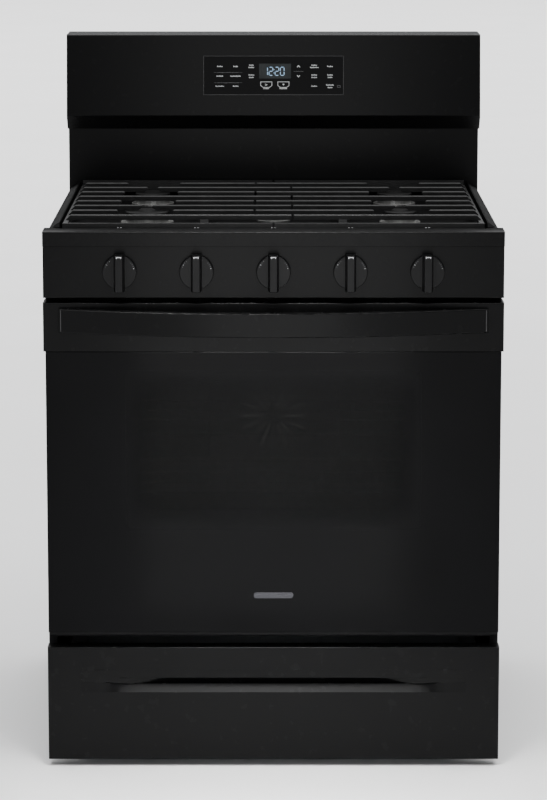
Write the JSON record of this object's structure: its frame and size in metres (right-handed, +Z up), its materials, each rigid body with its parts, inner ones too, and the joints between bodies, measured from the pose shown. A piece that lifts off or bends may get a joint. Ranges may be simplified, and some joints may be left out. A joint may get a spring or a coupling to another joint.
{
  "type": "freestanding gas range",
  "caption": "Black freestanding gas range with continuous cast grates, front knobs, arched door handle, storage drawer and raised rear control console.",
  "frame": {"origin": "floor point under the middle of the bounding box", "axes": "+Z up, -Y out of the front (door side), +X to the right seen from the front; Z is the longest extent"},
  "size_m": [0.759, 0.7329, 1.188],
  "materials": {
    "leg_plastic": "matte",
    "zinc_steel": "satin zinc plating",
    "black_paint": "satin",
    "dark_enamel": "satin",
    "oven_enamel": "gloss, fine speckle",
    "glass_wool": "fibrous",
    "aluminised_steel": "satin",
    "lamp_glass": "clear",
    "gasket_weave": "woven",
    "rack_chrome": "bright",
    "black_glass": "gloss",
    "black_enamel": "gloss",
    "clear_glass": "clear",
    "badge_metal": "satin",
    "valve_aluminium": "cast",
    "pipe_steel": "matte",
    "burner_aluminium": "brushed",
    "cap_enamel": "matte enamel",
    "grate_iron": "matte enamel",
    "ceramic": "glazed",
    "touch_glass": "gloss",
    "board": "matte",
    "gland_nylon": "matte",
    "knob_plastic": "satin",
    "stem_brass": "turned"
  },
  "bodies": {
    "range_body": {"backguard_cover": "zinc_steel", "bake_burner": "aluminised_steel", "base_frame": "zinc_steel", "broil_burner": "aluminised_steel", "burner_box": "zinc_steel", "burner_caps": "cap_enamel", "burner_heads": "burner_aluminium", "burner_tubes": "valve_aluminium", "console_housing": "black_enamel", "control_board": "board", "control_panel": "black_enamel", "cooktop_deck": "black_enamel", "cord_gland": "gland_nylon", "door_gasket": "gasket_weave", "drawer_glides": "zinc_steel", "fan_cover": "oven_enamel", "fan_motor": "zinc_steel", "front_frame": "dark_enamel", "gas_manifold": "pipe_steel", "gas_regulator": "valve_aluminium", "gas_valves": "valve_aluminium", "hinge_arms": "zinc_steel", "leveling_legs": "leg_plastic", "oven_cavity": "oven_enamel", "oven_floor": "oven_enamel", "oven_insulation": "glass_wool", "oven_lamp": "lamp_glass", "rear_panel": "zinc_steel", "riser_panel": "black_enamel", "side_panel_left": "black_paint", "side_panel_right": "black_paint", "spark_electrodes": "ceramic", "touch_panel": "touch_glass"},
    "oven_door": {"door_glass": "black_glass", "door_top_band": "black_enamel", "door_bottom_trim": "dark_enamel", "door_frame": "dark_enamel", "door_inner_panel": "oven_enamel", "door_inner_glass": "clear_glass", "door_insulation": "glass_wool", "door_hinges": "zinc_steel", "door_handle": "black_enamel", "door_badge": "badge_metal"},
    "storage_drawer": {"drawer_front": "black_enamel", "drawer_tub": "zinc_steel"},
    "lower_rack": {"lower_rack": "rack_chrome"},
    "upper_rack": {"upper_rack": "rack_chrome"},
    "left_grate": {"left_grate": "grate_iron"},
    "right_grate": {"right_grate": "grate_iron"},
    "convection_fan": {"convection_fan": "aluminised_steel"},
    "stem_left_front": {"stem_left_front": "stem_brass"},
    "knob_left_front": {"knob_left_front": "knob_plastic"},
    "stem_left_rear": {"stem_left_rear": "stem_brass"},
    "knob_left_rear": {"knob_left_rear": "knob_plastic"},
    "stem_centre": {"stem_centre": "stem_brass"},
    "knob_centre": {"knob_centre": "knob_plastic"},
    "stem_right_rear": {"stem_right_rear": "stem_brass"},
    "knob_right_rear": {"knob_right_rear": "knob_plastic"},
    "stem_right_front": {"stem_right_front": "stem_brass"},
    "knob_right_front": {"knob_right_front": "knob_plastic"}
  },
  "joints": [
    {"name": "oven_door_hinge", "type": "hinge", "parent": "range_body", "child": "oven_door", "pos_m": [0, -0.286, 0.232], "axis": [1, 0, 0], "range_deg": [0, 90], "stiffness_Nm_per_rad": 19, "springref_deg": -5.73},
    {"name": "storage_drawer_slide", "type": "slide", "parent": "range_body", "child": "storage_drawer", "axis": [0, -1, 0], "range_m": [0, 0.4]},
    {"name": "lower_rack_slide", "type": "slide", "parent": "range_body", "child": "lower_rack", "axis": [0, -1, 0], "range_m": [0, 0.012]},
    {"name": "upper_rack_slide", "type": "slide", "parent": "range_body", "child": "upper_rack", "axis": [0, -1, 0], "range_m": [0, 0.012]},
    {"name": "left_grate_lift", "type": "slide", "parent": "range_body", "child": "left_grate", "axis": [0, 0, 1], "range_m": [0, 0.09]},
    {"name": "right_grate_lift", "type": "slide", "parent": "range_body", "child": "right_grate", "axis": [0, 0, 1], "range_m": [0, 0.09]},
    {"name": "convection_fan_spin", "type": "hinge", "parent": "range_body", "child": "convection_fan", "pos_m": [0, 0.218, 0.5], "axis": [0, 1, 0], "continuous": true},
    {"name": "knob_left_front_turn", "type": "hinge", "parent": "range_body", "child": "stem_left_front", "pos_m": [-0.2526, -0.3085, 0.842], "axis": [0, -1, 0], "range_deg": [0, 220]},
    {"name": "knob_left_front_push", "type": "slide", "parent": "stem_left_front", "child": "knob_left_front", "axis": [0, 1, 0], "range_m": [0, 0.003], "stiffness_N_per_m": 1200},
    {"name": "knob_left_rear_turn", "type": "hinge", "parent": "range_body", "child": "stem_left_rear", "pos_m": [-0.1263, -0.3085, 0.842], "axis": [0, -1, 0], "range_deg": [0, 220]},
    {"name": "knob_left_rear_push", "type": "slide", "parent": "stem_left_rear", "child": "knob_left_rear", "axis": [0, 1, 0], "range_m": [0, 0.003], "stiffness_N_per_m": 1200},
    {"name": "knob_centre_turn", "type": "hinge", "parent": "range_body", "child": "stem_centre", "pos_m": [0, -0.3085, 0.842], "axis": [0, -1, 0], "range_deg": [0, 220]},
    {"name": "knob_centre_push", "type": "slide", "parent": "stem_centre", "child": "knob_centre", "axis": [0, 1, 0], "range_m": [0, 0.003], "stiffness_N_per_m": 1200},
    {"name": "knob_right_rear_turn", "type": "hinge", "parent": "range_body", "child": "stem_right_rear", "pos_m": [0.1263, -0.3085, 0.842], "axis": [0, -1, 0], "range_deg": [0, 220]},
    {"name": "knob_right_rear_push", "type": "slide", "parent": "stem_right_rear", "child": "knob_right_rear", "axis": [0, 1, 0], "range_m": [0, 0.003], "stiffness_N_per_m": 1200},
    {"name": "knob_right_front_turn", "type": "hinge", "parent": "range_body", "child": "stem_right_front", "pos_m": [0.2526, -0.3085, 0.842], "axis": [0, -1, 0], "range_deg": [0, 220]},
    {"name": "knob_right_front_push", "type": "slide", "parent": "stem_right_front", "child": "knob_right_front", "axis": [0, 1, 0], "range_m": [0, 0.003], "stiffness_N_per_m": 1200}
  ]
}
